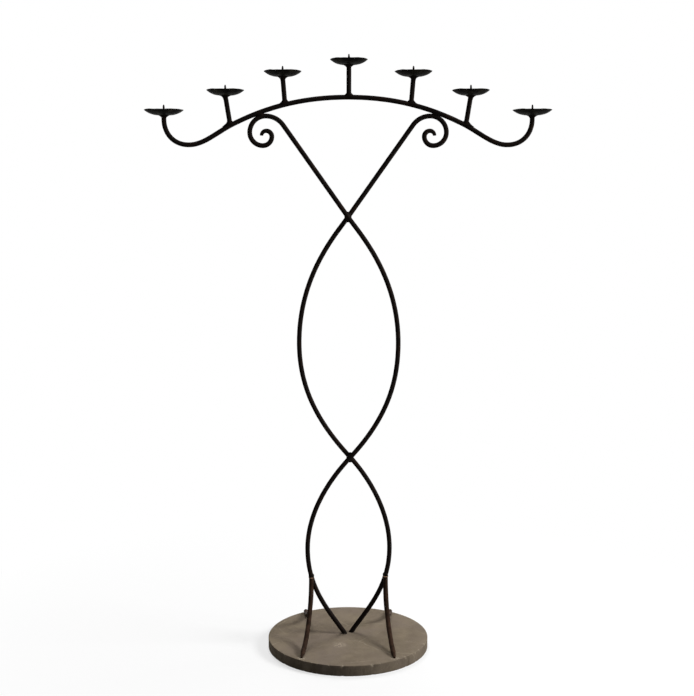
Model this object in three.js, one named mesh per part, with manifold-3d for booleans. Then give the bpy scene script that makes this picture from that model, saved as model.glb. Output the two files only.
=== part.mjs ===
// A floor-standing torchere of black wrought iron for seven candles, on a round stone slab.
//
// Two long round bars, each with a scroll at its top end, cross twice and stand on the slab.
// The scrolls carry an arched bar. Five short stems on the arch and its two upturned ends
// each hold a drip pan with a spike. Four splayed legs brace the bars on the slab.
//
// Units are millimetres, +Z is up, the front faces -Y and the origin is the middle of the
// slab's underside.

import * as THREE from 'three';
import { mergeVertices } from 'three/addons/utils/BufferGeometryUtils.js';
import Module from 'manifold-3d';

const wasm = await Module();
wasm.setup();

// ---------------------------------------------------------------- driving dimensions

// Clearance wherever one piece meets another.
const seatGap = 0.3;

// Stone slab
const slabRadius = 202.5;
const slabThickness = 26;
const slabBevel = 1.5;

// Round bar, used for the frame, the arch, the stems and the legs
const barDiameter = 10.5;

// The plane of the frame, behind the middle of the slab
const framePlane = 14;

// Scroll rods, half of the pair: each starts at a scroll and ends on the slab
const upperCrossingHeight = 1086;
const upperCrossingAngle = THREE.MathUtils.degToRad(35.4);
const uprightLength = 272;
const shoulderRadius = 51.5;
const scrollRadii = [39.2, 31.7, 21.9, 13.6, 11.5];
const upperBulge = { halfWidth: 123, height: 774, roundAbove: 168, roundBelow: 104 };
const upperCrossingRun = 51;
const lowerCrossingHeight = 485;
const lowerCrossingAngle = THREE.MathUtils.degToRad(42.4);
const lowerCrossingRuns = { above: 131, below: 31 };
const lowerBulge = { halfWidth: 104, height: 249, roundAbove: 118, roundBelow: 106 };
const rodFoot = { halfSpread: 8.2, angle: THREE.MathUtils.degToRad(33.5), run: 72 };

// How far the hand-bent rods wander to the right of the middle
const bulgeDrift = 1.5;
const lowerCrossingDrift = 4.8;

// Arched bar, half of it, down and out from its crown
const archCrownRun = 123;
const archKnee = { out: 277, drop: 62.8, angle: THREE.MathUtils.degToRad(25.8), runIn: 76, runOut: 45.5 };
const archHook = { out: 387, drop: 113.7, runIn: 37, runOut: 37.5 };
const archEnd = { out: 446.5, drop: 53.5, run: 33, riser: 10.2 };

// Stems on the arch: where each meets it, how far it leans out and how long it is,
// measured from the arch's centreline
const centreStem = { out: 2, lean: 0, length: 76.4 };
const innerStem = { out: 152.7, lean: THREE.MathUtils.degToRad(4.5), length: 66.1 };
const outerStem = { out: 285.7, lean: THREE.MathUtils.degToRad(9), length: 72 };

// Drip pans: pressed dishes with a softly waved rim
const panRadius = 45.3;
const endPanRadius = 47.5;
const panDepth = 12.5;
const panThickness = 1.6;
const panFloorRadius = 9;
const panSweep = 3.1;
const rimWave = 1;
const rimLobes = 4;

// Flared cups under the pans
const cupHeight = 9;
const cupTopRadius = 13.5;
const cupWall = 1.2;
const cupSweep = 2.6;

// Candle spikes
const spikeDiameter = 4.8;
const spikeTipDiameter = 3.2;
const spikeLength = 25.5;
const spikeTaper = 14;

// Legs. Each toe lies a little inside the slab's edge, at an angle from the line of the arch.
const legTopHeight = 177;
const legDrop = 80;
const legToe = { inset: 10.7, angle: THREE.MathUtils.degToRad(53.9), run: 84 };

// Pins that hold the legs and rods in blind holes in the slab
const pinDiameter = 6;
const pinDepth = 16;
const pinSetback = 12;

// Weld beads: how far they reach past the bar's radius, across, front to back and up. The
// two on one rod, under a front and a back leg, share its thickness.
const crossingBead = { across: 4, deep: 3, up: 7.6 };
const scrollBead = { across: 8, deep: 1.5, up: 1 };
const legBead = { across: 1.6, deep: 0, up: 2 };
const stemBead = { spread: 6, edge: 0.6, from: 2.5, height: 9.5, sweep: 1.4 };

// How finely round things are cut
const barSides = 10;
const slabSides = 72;
const panSides = 20;
const panRings = 4;
const cupSides = 12;
const cupRings = 3;
const spikeSides = 8;
const pinSides = 8;
const beadSides = 12;
const beadRings = 6;
const bulgeSteps = 9;
const shoulderSteps = 4;
const scrollSteps = 5;
const archSteps = 9;
const hookSteps = 6;
const legSteps = 9;
const restSamples = 8;
const searchHalvings = 40;

// Pans are numbered from the left, and each stem has its pan's number. The first pan is on
// an end of the arch.
const firstPan = 1;
const firstStem = 2;

// ---------------------------------------------------------------- sizes that follow

const barRadius = barDiameter / 2;
const touching = barDiameter + seatGap;
const slabTop = slabThickness;
const onSlab = slabTop + seatGap;

// ---------------------------------------------------------------- finishes

const stone = { color: 0x7d7163, roughness: 0.9, metalness: 0 };
const blackIron = { color: 0x1b1613, roughness: 0.5, metalness: 0.8 };
const weldedIron = { color: 0x171310, roughness: 0.65, metalness: 0.8 };
const pressedIron = { color: 0x221d19, roughness: 0.5, metalness: 0.8 };
const pinSteel = { color: 0x4a4642, roughness: 0.45, metalness: 0.9 };

// ---------------------------------------------------------------- joining and cutting

function toSolid(geometry) {
  const bare = geometry.clone();
  bare.deleteAttribute('normal');
  bare.deleteAttribute('uv');
  const merged = mergeVertices(bare);
  const corners = merged.index.array;
  const triangles = [];
  for (let i = 0; i < corners.length; i += 3) {
    const [a, b, c] = corners.slice(i, i + 3);
    if (a !== b && b !== c && c !== a) {
      triangles.push(a, b, c);
    }
  }
  return new wasm.Manifold(new wasm.Mesh({
    numProp: 3,
    vertProperties: new Float32Array(merged.attributes.position.array),
    triVerts: new Uint32Array(triangles),
  }));
}

function toGeometry(solid) {
  const mesh = solid.getMesh();
  const geometry = new THREE.BufferGeometry();
  geometry.setAttribute('position', new THREE.BufferAttribute(mesh.vertProperties, 3));
  geometry.setIndex(new THREE.BufferAttribute(mesh.triVerts, 1));
  geometry.computeVertexNormals();
  return geometry;
}

// Takes each of the other shapes away from the first.
function cut(geometry, others) {
  let solid = toSolid(geometry);
  for (const other of others) {
    solid = solid.subtract(toSolid(other));
  }
  return toGeometry(solid);
}

function box(width, depth, height, x, y, z) {
  return new THREE.BoxGeometry(width, depth, height).translate(x, y, z);
}

// A profile turned about the upright axis. Its points are radius and height.
function turned(profile, turnedSides) {
  return new THREE.LatheGeometry(profile, turnedSides).rotateX(Math.PI / 2);
}

// ---------------------------------------------------------------- paths and bars

// A run of curves joined end to end. Each is cut into its own number of straight steps,
// so tight curls get short steps and straight stretches long ones.
class SteppedPath extends THREE.Curve {
  constructor(runs) {
    super();
    this.runs = runs;
    this.steps = runs.reduce((sum, run) => sum + run.steps, 0);
  }

  getPoint(t, target = new THREE.Vector3()) {
    let step = t * this.steps;
    for (const run of this.runs) {
      if (step <= run.steps) {
        return run.curve.getPoint(step / run.steps, target);
      }
      step -= run.steps;
    }
    return this.runs.at(-1).curve.getPoint(1, target);
  }

  getUtoTmapping(u) {
    return u;
  }
}

// A direction in the plane of the frame, as an angle from +X towards +Z.
function heading(angle) {
  return new THREE.Vector3(Math.cos(angle), 0, Math.sin(angle));
}

function along(direction, length) {
  return direction.clone().multiplyScalar(length);
}

// A smooth run between two points, leaving and arriving along the given directions.
function smoothRun(start, leave, end, arrive, steps) {
  const curve = new THREE.CubicBezierCurve3(
    start, start.clone().add(leave), end.clone().sub(arrive), end);
  return { curve, steps };
}

function straightRun(start, end) {
  return { curve: new THREE.LineCurve3(start, end), steps: 1 };
}

// An arc in the plane of the frame. A positive turn bends to the left of its heading. The
// reach is the usual one that makes a cubic curve follow a circle.
function arcRun(start, startAngle, radius, turn, steps) {
  const towardsCentre = Math.sign(turn) * Math.PI / 2;
  const endAngle = startAngle + turn;
  const centre = start.clone().add(along(heading(startAngle + towardsCentre), radius));
  const end = centre.clone().sub(along(heading(endAngle + towardsCentre), radius));
  const reach = radius * 4 / 3 * Math.tan(Math.abs(turn) / 4);
  const leave = along(heading(startAngle), reach);
  const arrive = along(heading(endAngle), reach);
  return { ...smoothRun(start, leave, end, arrive, steps), end, endAngle };
}

function circleShape(radius, sides) {
  const points = Array.from({ length: sides }, (_, i) => {
    const angle = (2 * i + 1) / sides * Math.PI;
    return new THREE.Vector2(radius * Math.cos(angle), radius * Math.sin(angle));
  });
  return new THREE.Shape(points);
}

// A round bar along a path. The extra radius makes the shape that clears it.
function bar(path, extra = 0) {
  return new THREE.ExtrudeGeometry(circleShape(barRadius + extra, barSides), {
    steps: path.steps,
    extrudePath: path,
    bevelEnabled: false,
  });
}

// The same path, a clearance longer at each end.
function cleared(path) {
  const start = path.getPoint(0);
  const end = path.getPoint(1);
  const before = start.clone().sub(along(path.getTangent(0), seatGap));
  const after = end.clone().add(along(path.getTangent(1), seatGap));
  return new SteppedPath([straightRun(before, start), ...path.runs, straightRun(end, after)]);
}

// The same run of curves taken from its far end.
function backwards(runs) {
  return runs.map(({ curve, steps }) => {
    if (curve.isLineCurve3) {
      return straightRun(curve.v2, curve.v1);
    }
    return { curve: new THREE.CubicBezierCurve3(curve.v3, curve.v2, curve.v1, curve.v0), steps };
  }).reverse();
}

// The point of a curve where a measure that only rises or only falls has the given value.
function pointWhere(curve, measure, value) {
  const rising = measure(curve.getPoint(1)) > measure(curve.getPoint(0));
  let [low, high] = [0, 1];
  for (let halving = 0; halving < searchHalvings; halving += 1) {
    const middle = (low + high) / 2;
    if (measure(curve.getPoint(middle)) > value === rising) {
      high = middle;
    } else {
      low = middle;
    }
  }
  return curve.getPoint(low);
}

// ---------------------------------------------------------------- scroll rods

// The curves of one rod, from the tip of its scroll down to the slab. The side is -1 for
// the rod that has its scroll on the left, and 1 for the other.
function rodRuns(side) {
  const plane = framePlane + side * touching / 2;
  const upperCrossing = new THREE.Vector3(0, plane, upperCrossingHeight);
  const lowerCrossing = new THREE.Vector3(lowerCrossingDrift, plane, lowerCrossingHeight);
  const bulge = new THREE.Vector3(bulgeDrift - side * upperBulge.halfWidth, plane, upperBulge.height);
  const belly = new THREE.Vector3(bulgeDrift + side * lowerBulge.halfWidth, plane, lowerBulge.height);
  const foot = new THREE.Vector3(side * rodFoot.halfSpread, plane, slabTop);

  const down = heading(-Math.PI / 2);
  const across = heading(-Math.PI / 2 - side * upperCrossingAngle);
  const back = heading(-Math.PI / 2 + side * lowerCrossingAngle);
  const inward = heading(-Math.PI / 2 - side * rodFoot.angle);

  return [
    ...scrollRuns(side, upperCrossing),
    smoothRun(upperCrossing, along(across, upperCrossingRun),
      bulge, along(down, upperBulge.roundAbove), bulgeSteps),
    smoothRun(bulge, along(down, upperBulge.roundBelow),
      lowerCrossing, along(back, lowerCrossingRuns.above), bulgeSteps),
    smoothRun(lowerCrossing, along(back, lowerCrossingRuns.below),
      belly, along(down, lowerBulge.roundAbove), bulgeSteps),
    smoothRun(belly, along(down, lowerBulge.roundBelow),
      foot, along(inward, rodFoot.run), bulgeSteps),
    straightRun(foot, foot.clone().add(along(inward, barDiameter))),
  ];
}

// The scroll, its shoulder and the straight upright down to the upper crossing. On its way
// up the rod comes into the middle plane of the frame, so that its scroll is under the arch.
function scrollRuns(side, upperCrossing) {
  const startAngle = Math.PI / 2 - side * upperCrossingAngle;
  const start = upperCrossing.clone().add(along(heading(startAngle), uprightLength));
  start.y = framePlane;

  const shoulderTurn = -side * (Math.PI / 2 - upperCrossingAngle);
  const quarterTurn = -side * Math.PI / 2;
  const runs = [
    straightRun(upperCrossing, start),
    arcRun(start, startAngle, shoulderRadius, shoulderTurn, shoulderSteps),
  ];
  for (const radius of scrollRadii) {
    const before = runs.at(-1);
    runs.push(arcRun(before.end, before.endAngle, radius, quarterTurn, scrollSteps));
  }
  return backwards(runs);
}

// ---------------------------------------------------------------- arched bar

// Half of the arch, from its crown out to the upturned end that holds a pan.
function archHalf(side, crown) {
  const at = (out, drop) => crown.clone().add(new THREE.Vector3(side * out, 0, -drop));
  const outward = heading(side > 0 ? 0 : Math.PI);
  const falling = heading(side > 0 ? -archKnee.angle : Math.PI + archKnee.angle);
  const upward = heading(Math.PI / 2);
  const knee = at(archKnee.out, archKnee.drop);
  const hook = at(archHook.out, archHook.drop);
  const end = at(archEnd.out, archEnd.drop);

  return [
    smoothRun(crown, along(outward, archCrownRun), knee, along(falling, archKnee.runIn), archSteps),
    smoothRun(knee, along(falling, archKnee.runOut), hook, along(outward, archHook.runIn), hookSteps),
    smoothRun(hook, along(outward, archHook.runOut), end, along(upward, archEnd.run), hookSteps),
    straightRun(end, end.clone().add(along(upward, archEnd.riser))),
  ];
}

// How far one path has to be lifted to rest on another with their centrelines the given
// distance apart, where they then touch, and how the line of the touch slopes there.
function restOn(upper, lower, distance) {
  const lowerPoints = lower.getPoints(lower.steps * restSamples);
  let rest = { lift: -Infinity };
  for (const high of upper.getPoints(upper.steps * restSamples)) {
    for (const low of lowerPoints) {
      const aside = high.x - low.x;
      const above = Math.sqrt(Math.max(distance ** 2 - aside ** 2, 0));
      const lift = low.z + above - high.z;
      if (Math.abs(aside) < distance && lift > rest.lift) {
        const contact = low.clone().add(new THREE.Vector3(aside, 0, above).divideScalar(2));
        rest = { lift, contact, slope: Math.atan2(aside, above) };
      }
    }
  }
  return rest;
}

// ---------------------------------------------------------------- stems, pans and legs

// The top of a stem that stands on the arch, and its path from the arch's centreline.
function stemPath(side, stem, arch) {
  const foot = pointWhere(arch, (point) => side * point.x, stem.out);
  const leaning = heading(Math.PI / 2 - side * stem.lean);
  const top = foot.clone().add(along(leaning, stem.length));
  const past = top.clone().add(along(leaning, barRadius));
  return { foot, leaning, top, path: new SteppedPath([straightRun(foot, past)]) };
}

// A turned shape that widens upwards from its narrow end, like the bell of a trumpet.
function flare(narrow, wide, height, sweep) {
  const profile = [new THREE.Vector2(0, 0)];
  for (let ring = 0; ring <= cupRings; ring += 1) {
    const share = ring / cupRings;
    profile.push(new THREE.Vector2(narrow + (wide - narrow) * share ** sweep, height * share));
  }
  profile.push(new THREE.Vector2(0, height));
  return turned(profile, cupSides);
}

// A pressed dish with a hole for its spike. Its underside is at height zero in the middle.
function dripPan(radius) {
  const hole = spikeDiameter / 2 + seatGap;
  const slope = radius - panFloorRadius;
  const rise = (r) => panDepth * (Math.max(r - panFloorRadius, 0) / slope) ** panSweep;
  const radii = [hole];
  for (let ring = 0; ring <= panRings; ring += 1) {
    const share = Math.sqrt(ring / panRings);
    radii.push(panFloorRadius + slope * share);
  }
  const underside = radii.map((r) => new THREE.Vector2(r, rise(r)));
  const inside = radii.map((r) => new THREE.Vector2(r, rise(r) + panThickness)).reverse();
  const pan = turned([...underside, ...inside, underside[0].clone()], panSides);

  const points = pan.attributes.position;
  for (let i = 0; i < points.count; i += 1) {
    const [x, y] = [points.getX(i), points.getY(i)];
    const share = Math.hypot(x, y) / radius;
    const wave = -rimWave * Math.cos(rimLobes * Math.atan2(y, x)) * share ** panSweep;
    points.setZ(i, points.getZ(i) + wave);
  }
  return pan;
}

function spike() {
  const radius = spikeDiameter / 2;
  return turned([
    new THREE.Vector2(0, 0),
    new THREE.Vector2(radius, 0),
    new THREE.Vector2(radius, spikeLength - spikeTaper),
    new THREE.Vector2(spikeTipDiameter / 2, spikeLength),
    new THREE.Vector2(0, spikeLength),
  ], spikeSides);
}

// A leg hangs beside a rod, straight down at first, and sweeps out to a toe that lies flat
// on the slab. The side is -1 for left, and the front is -1 for the pair nearer the viewer.
function legRun(side, front, join) {
  const top = join.clone().add(new THREE.Vector3(0, front * touching, 0));
  const radius = slabRadius - legToe.inset;
  const out = side * radius * Math.cos(legToe.angle);
  const reach = front * radius * Math.sin(legToe.angle);
  const toe = new THREE.Vector3(out, reach, onSlab + barRadius);
  const outward = toe.clone().sub(top).setZ(0).normalize();
  const drop = new THREE.Vector3(0, 0, -legDrop);
  return { ...smoothRun(top, drop, toe, along(outward, legToe.run), legSteps), outward, toe };
}

// ---------------------------------------------------------------- slab, pins and beads

function slabBlank() {
  return turned([
    new THREE.Vector2(0, 0),
    new THREE.Vector2(slabRadius - slabBevel, 0),
    new THREE.Vector2(slabRadius, slabBevel),
    new THREE.Vector2(slabRadius, slabThickness - slabBevel),
    new THREE.Vector2(slabRadius - slabBevel, slabThickness),
    new THREE.Vector2(0, slabThickness),
  ], slabSides);
}

// A post that stands in the slab, its top level with the slab's. The slack widens and
// deepens it, for its hole.
function slabPost(x, y, slack = 0) {
  const depth = pinDepth + slack;
  const post = turned([
    new THREE.Vector2(0, 0),
    new THREE.Vector2(pinDiameter / 2 + slack, 0),
    new THREE.Vector2(pinDiameter / 2 + slack, depth),
    new THREE.Vector2(0, depth),
  ], pinSides);
  return post.translate(x, y, slabTop - depth);
}

// A rounded blob of weld, leaning in the plane of the frame.
function bead(centre, reach, lean = 0) {
  const blob = new THREE.SphereGeometry(1, beadSides, beadRings);
  blob.rotateX(Math.PI / 2);
  blob.scale(barRadius + reach.across, barRadius + reach.deep, barRadius + reach.up);
  blob.rotateY(lean);
  return blob.translate(centre.x, centre.y, centre.z);
}

// ---------------------------------------------------------------- assembly

const group = new THREE.Group();

function addPiece(name, geometry, finish) {
  const mesh = new THREE.Mesh(geometry, new THREE.MeshStandardMaterial(finish));
  mesh.name = name;
  group.add(mesh);
  return mesh;
}

const sides = { left: -1, right: 1 };
const depths = { front: -1, back: 1 };

// The two scroll rods, cut flat where they stand on the slab
const rods = {};
const belowRods = box(slabRadius, slabRadius, slabThickness, 0, 0, onSlab - slabThickness / 2);
for (const [sideName, side] of Object.entries(sides)) {
  const runs = rodRuns(side);
  const path = new SteppedPath(runs);
  rods[sideName] = { path, cleared: bar(cleared(path), seatGap), lowerCurve: runs.at(-2).curve };
  addPiece(`scroll_rod_${sideName}`, cut(bar(path), [belowRods]), blackIron);
}
const clearedRods = Object.values(rods).map((rod) => rod.cleared);

// The arch, resting on the two scrolls
const crownOnGround = new THREE.Vector3(0, framePlane, 0);
const rest = restOn(new SteppedPath(archHalf(sides.right, crownOnGround)), rods.right.path, touching);
const crown = crownOnGround.clone().setZ(rest.lift);
const archHalves = {
  left: archHalf(sides.left, crown),
  right: archHalf(sides.right, crown),
};
const archPath = new SteppedPath([...backwards(archHalves.left), ...archHalves.right]);
const clearedArch = bar(cleared(archPath), seatGap);
addPiece('arch_bar', bar(archPath), blackIron);

// The five stems, and the places where the seven pans sit, from left to right
const stemPlaces = [
  ['left', outerStem],
  ['left', innerStem],
  ['right', centreStem],
  ['right', innerStem],
  ['right', outerStem],
];
const panPlaces = stemPlaces.map(([sideName, stem], i) => {
  const half = new SteppedPath(archHalves[sideName]);
  const { foot, leaning, top, path } = stemPath(sides[sideName], stem, half);
  const above = box(2 * touching, 2 * touching, touching, top.x, top.y, top.z + touching / 2);
  const clearedStem = bar(cleared(path), seatGap);
  addPiece(`stem_${firstStem + i}`, cut(bar(path), [above, clearedArch]), blackIron);

  const wide = barRadius + stemBead.spread;
  const skirt = flare(barRadius + seatGap + stemBead.edge, wide, stemBead.height, stemBead.sweep);
  skirt.rotateX(Math.PI);
  skirt.rotateY(sides[sideName] * stem.lean);
  const skirtTop = foot.clone().add(along(leaning, stemBead.from + stemBead.height));
  skirt.translate(skirtTop.x, skirtTop.y, skirtTop.z);
  addPiece(`stem_weld_${firstStem + i}`, cut(skirt, [clearedArch, clearedStem]), weldedIron);
  return { top, holder: clearedStem, radius: panRadius };
});
panPlaces.unshift({ top: archPath.getPoint(0), holder: clearedArch, radius: endPanRadius });
panPlaces.push({ top: archPath.getPoint(1), holder: clearedArch, radius: endPanRadius });

// A cup, a pan and a spike at each place
for (const [i, { top, holder, radius }] of panPlaces.entries()) {
  const number = firstPan + i;
  const cup = flare(barRadius + seatGap + cupWall, cupTopRadius, cupHeight, cupSweep);
  cup.translate(top.x, top.y, top.z - cupHeight);
  addPiece(`pan_cup_${number}`, cut(cup, [holder]), weldedIron);

  const seat = top.clone().add(new THREE.Vector3(0, 0, seatGap));
  addPiece(`drip_pan_${number}`, dripPan(radius), pressedIron).position.copy(seat);
  addPiece(`pricket_${number}`, spike(), blackIron).position.copy(seat);
}

// The legs, each welded to a rod at its top and pinned to the slab at its toe
const holes = [];
for (const [sideName, side] of Object.entries(sides)) {
  const join = pointWhere(rods[sideName].lowerCurve, (point) => point.z, legTopHeight);
  for (const [depthName, front] of Object.entries(depths)) {
    const run = legRun(side, front, join);
    const path = new SteppedPath([run]);
    const name = `${depthName}_${sideName}`;
    addPiece(`leg_${name}`, bar(path), blackIron);

    const between = join.clone().add(run.curve.v0).divideScalar(2);
    const clearances = [rods[sideName].cleared, bar(cleared(path), seatGap)];
    addPiece(`leg_weld_${name}`, cut(bead(between, legBead), clearances), weldedIron);

    const pin = run.toe.clone().sub(along(run.outward, pinSetback));
    addPiece(`leg_pin_${name}`, slabPost(pin.x, pin.y), pinSteel);
    holes.push(slabPost(pin.x, pin.y, seatGap));
  }
  const foot = rods[sideName].lowerCurve.v3;
  addPiece(`rod_pin_${sideName}`, slabPost(foot.x, foot.y), pinSteel);
  holes.push(slabPost(foot.x, foot.y, seatGap));
}

addPiece('base_slab', cut(slabBlank(), holes), stone);

// The welds where the rods cross and where the scrolls carry the arch
const crossings = {
  upper: new THREE.Vector3(0, framePlane, upperCrossingHeight),
  lower: new THREE.Vector3(lowerCrossingDrift, framePlane, lowerCrossingHeight),
};
for (const [name, centre] of Object.entries(crossings)) {
  addPiece(`crossing_weld_${name}`, cut(bead(centre, crossingBead), clearedRods), weldedIron);
}
for (const [sideName, side] of Object.entries(sides)) {
  const centre = rest.contact.clone();
  centre.x *= side;
  const blob = bead(centre, scrollBead, side * rest.slope);
  addPiece(`scroll_weld_${sideName}`, cut(blob, [clearedArch, rods[sideName].cleared]), weldedIron);
}

export default group;
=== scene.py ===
"""A floor-standing torchere of black wrought iron for seven candles, on a round stone slab.

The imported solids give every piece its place. This file builds each piece again as the smith
and the stonecutter left it, gives it its finish, and sets up the floor, lamps and camera.

Lengths are metres, +Z is up, the front faces -Y and the origin is the middle of the slab's
underside. Side is -1 for left and 1 for right, and depth is -1 for front and 1 for back.
"""

import math
from collections import namedtuple
from itertools import pairwise

import bmesh
import bpy
from bpy.props import FloatProperty, FloatVectorProperty, IntProperty, PointerProperty
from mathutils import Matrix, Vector, geometry, noise


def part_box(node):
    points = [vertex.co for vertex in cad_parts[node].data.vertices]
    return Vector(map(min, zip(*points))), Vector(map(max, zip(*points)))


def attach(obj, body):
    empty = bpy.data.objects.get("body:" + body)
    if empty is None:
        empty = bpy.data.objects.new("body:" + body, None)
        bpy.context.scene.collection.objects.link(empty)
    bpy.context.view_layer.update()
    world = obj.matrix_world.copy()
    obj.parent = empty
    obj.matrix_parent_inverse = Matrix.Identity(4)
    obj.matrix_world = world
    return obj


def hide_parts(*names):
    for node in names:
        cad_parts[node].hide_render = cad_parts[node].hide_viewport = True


bl_info = {
    "name": "Wrought-iron torchere",
    "version": (1, 0, 0),
    "blender": (4, 5, 0),
    "location": "View3D > Sidebar > Torchere",
    "description": "Builds a seven-light torchere around its packed solids",
    "category": "Object",
}

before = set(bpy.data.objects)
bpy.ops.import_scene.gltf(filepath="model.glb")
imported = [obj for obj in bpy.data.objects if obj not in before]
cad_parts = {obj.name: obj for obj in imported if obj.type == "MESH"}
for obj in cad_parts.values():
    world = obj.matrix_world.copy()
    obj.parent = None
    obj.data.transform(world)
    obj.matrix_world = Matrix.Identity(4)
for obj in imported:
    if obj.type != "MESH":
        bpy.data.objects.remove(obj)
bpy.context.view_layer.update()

# ---- places of the iron

SIDES = {"left": -1, "right": 1}
DEPTHS = {"front": -1, "back": 1}
LEGS = {f"{depth}_{side}": (SIDES[side], DEPTHS[depth]) for side in SIDES for depth in DEPTHS}
PANS = range(1, 8)
STEMS = range(2, 7)

# Clearance wherever one solid meets another
SEAT_GAP = 0.0003

# The plane of the frame, behind the middle of the slab
FRAME_PLANE = 0.014

# Scroll rods: how one rod of the pair runs from its scroll down to the slab
UPPER_CROSSING = 1.086
UPPER_CROSSING_ANGLE = math.radians(35.4)
UPPER_CROSSING_RUN = 0.051
UPRIGHT = 0.272
CURL_RADII = (0.0515, 0.0392, 0.0317, 0.0219, 0.0136, 0.0115)
BULGE = {"half_width": 0.123, "height": 0.774, "above": 0.168, "below": 0.104}
LOWER_CROSSING = 0.485
LOWER_CROSSING_ANGLE = math.radians(42.4)
LOWER_CROSSING_RUNS = {"above": 0.131, "below": 0.031}
BELLY = {"half_width": 0.104, "height": 0.249, "above": 0.118, "below": 0.106}
ROD_FOOT = {"half_spread": 0.0082, "angle": math.radians(33.5), "run": 0.072}
BULGE_DRIFT = 0.0015
LOWER_CROSSING_DRIFT = 0.0048

# Arched bar: one half, down and out from its crown
ARCH_CROWN_RUN = 0.123
ARCH_KNEE = {"out": 0.277, "drop": 0.0628, "angle": math.radians(25.8), "arrive": 0.076, "leave": 0.0455}
ARCH_HOOK = {"out": 0.387, "drop": 0.1137, "arrive": 0.037, "leave": 0.0375}
ARCH_END = {"out": 0.4465, "drop": 0.0535, "arrive": 0.033, "riser": 0.0102}

# Stems: how far each leans out, and its length down to the arch's centreline
STEM_LEANS = {2: math.radians(9), 3: math.radians(4.5), 4: 0, 5: math.radians(4.5), 6: math.radians(9)}
STEM_LENGTHS = {2: 0.072, 3: 0.0661, 4: 0.0764, 5: 0.0661, 6: 0.072}

# Legs: each toe lies a little inside the slab's edge, at an angle from the line of the arch
LEG_TOP = 0.177
LEG_DROP = 0.080
LEG_TOE = {"inset": 0.0107, "angle": math.radians(53.9), "run": 0.084}

# ---- settings


def linear(hex_colour):
    """Turns an sRGB hex colour into linear red, green, blue and alpha."""
    channels = [int(hex_colour[i : i + 2], 16) / 255 for i in (1, 3, 5)]
    curved = [c / 12.92 if c <= 0.04045 else ((c + 0.055) / 1.055) ** 2.4 for c in channels]
    return (*curved, 1.0)


def length(name, description, default):
    """A property for a length in metres."""
    return FloatProperty(name=name, description=description, default=default, min=0, unit="LENGTH")


def plain_number(name, description, default, least=0.0, unit="NONE"):
    """A property for a share, a power or another plain number."""
    return FloatProperty(name=name, description=description, default=default, min=least, unit=unit)


def whole_number(name, description, default, least=4):
    """A property for a whole number."""
    return IntProperty(name=name, description=description, default=default, min=least)


def swatch(name, description, hex_colour):
    """A property for a colour, written as it looks on a screen."""
    return FloatVectorProperty(
        name=name, description=description, default=linear(hex_colour), size=4, subtype="COLOR", min=0, max=1
    )


def widths(node):
    """The width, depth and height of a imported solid."""
    low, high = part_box(node)
    return high - low


class BarSettings(bpy.types.PropertyGroup):
    """The round bar that the frame, arch, stems and legs are bent from."""

    diameter: length("Diameter", "Thickness of the bar", max(widths("stem_4").to_2d()))
    wax: length("Wax", "Thickness of the scale and wax on the bar", 0.0007)
    unevenness: length("Unevenness", "How far the hammer left the bar out of round", 0.00012)
    patch: length("Patch", "Size of one uneven patch", 0.009)
    step: length("Step", "Spacing of the rings that a bar is drawn with", 0.0022)
    sides: whole_number("Sides", "Corners of each ring", 20)
    end_round: length("End rounding", "How far the cut ends are rounded off", 0.0008)
    tip_run: plain_number("Tip run", "How many diameters a thinned tip is long", 2.2)


class PanSettings(bpy.types.PropertyGroup):
    """The pressed drip pans, the cups under them and the spikes in them."""

    thickness: length("Sheet", "Thickness of the sheet", 0.0016)
    depth: length("Depth", "Height of the rim over the middle", 0.0125)
    floor: length("Floor", "Radius of the flat middle", 0.009)
    sweep: plain_number("Sweep", "How late the dish turns up", 2.5, 1)
    wave: length("Rim wave", "How far the rim rises and falls", 0.0004)
    lobes: whole_number("Lobes", "Waves round the rim", 4, 0)
    ripple: length("Rim ripple", "Height of the small ripples of the rim", 0.0007)
    dent: length("Dent", "Depth of the hammer marks", 0.00022)
    dent_size: length("Dent size", "Width of a hammer mark", 0.008)
    lip: plain_number("Lip", "Share of its thickness that the sheet loses at its lip", 0.6)
    sides: whole_number("Sides", "Corners round the pan", 96)
    rings: whole_number("Rings", "Rings from the middle to the rim", 22)
    cup_lump: length("Cup lumps", "Height of the lumps on the cups", 0.0009)
    cup_grain: length("Cup lump size", "Width of a lump on a cup", 0.0065)


class WeldSettings(bpy.types.PropertyGroup):
    """The welds where bars cross and meet."""

    lump: length("Lumps", "Height of the lumps", 0.0010)
    grain: length("Lump size", "Width of a lump", 0.006)
    ripple: length("Ripple", "Height of the ripples of the bead", 0.00022)
    ripple_spacing: length("Ripple spacing", "Distance between two ripples", 0.0021)


class SlabSettings(bpy.types.PropertyGroup):
    """The round stone slab."""

    sides: whole_number("Sides", "Corners round the slab", 480)
    ring_spacing: length("Ring spacing", "Distance between rings on the top", 0.006)
    arris: length("Arris", "Rounding of the sound edges", 0.0012)
    chip_depth: length("Chip depth", "Depth of the deepest chips", 0.0030)
    chip_size: length("Chip size", "Length of a chip along the edge", 0.010)
    sawn_wave: length("Unevenness", "How far the sawn faces are out of true", 0.0003)


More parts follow.
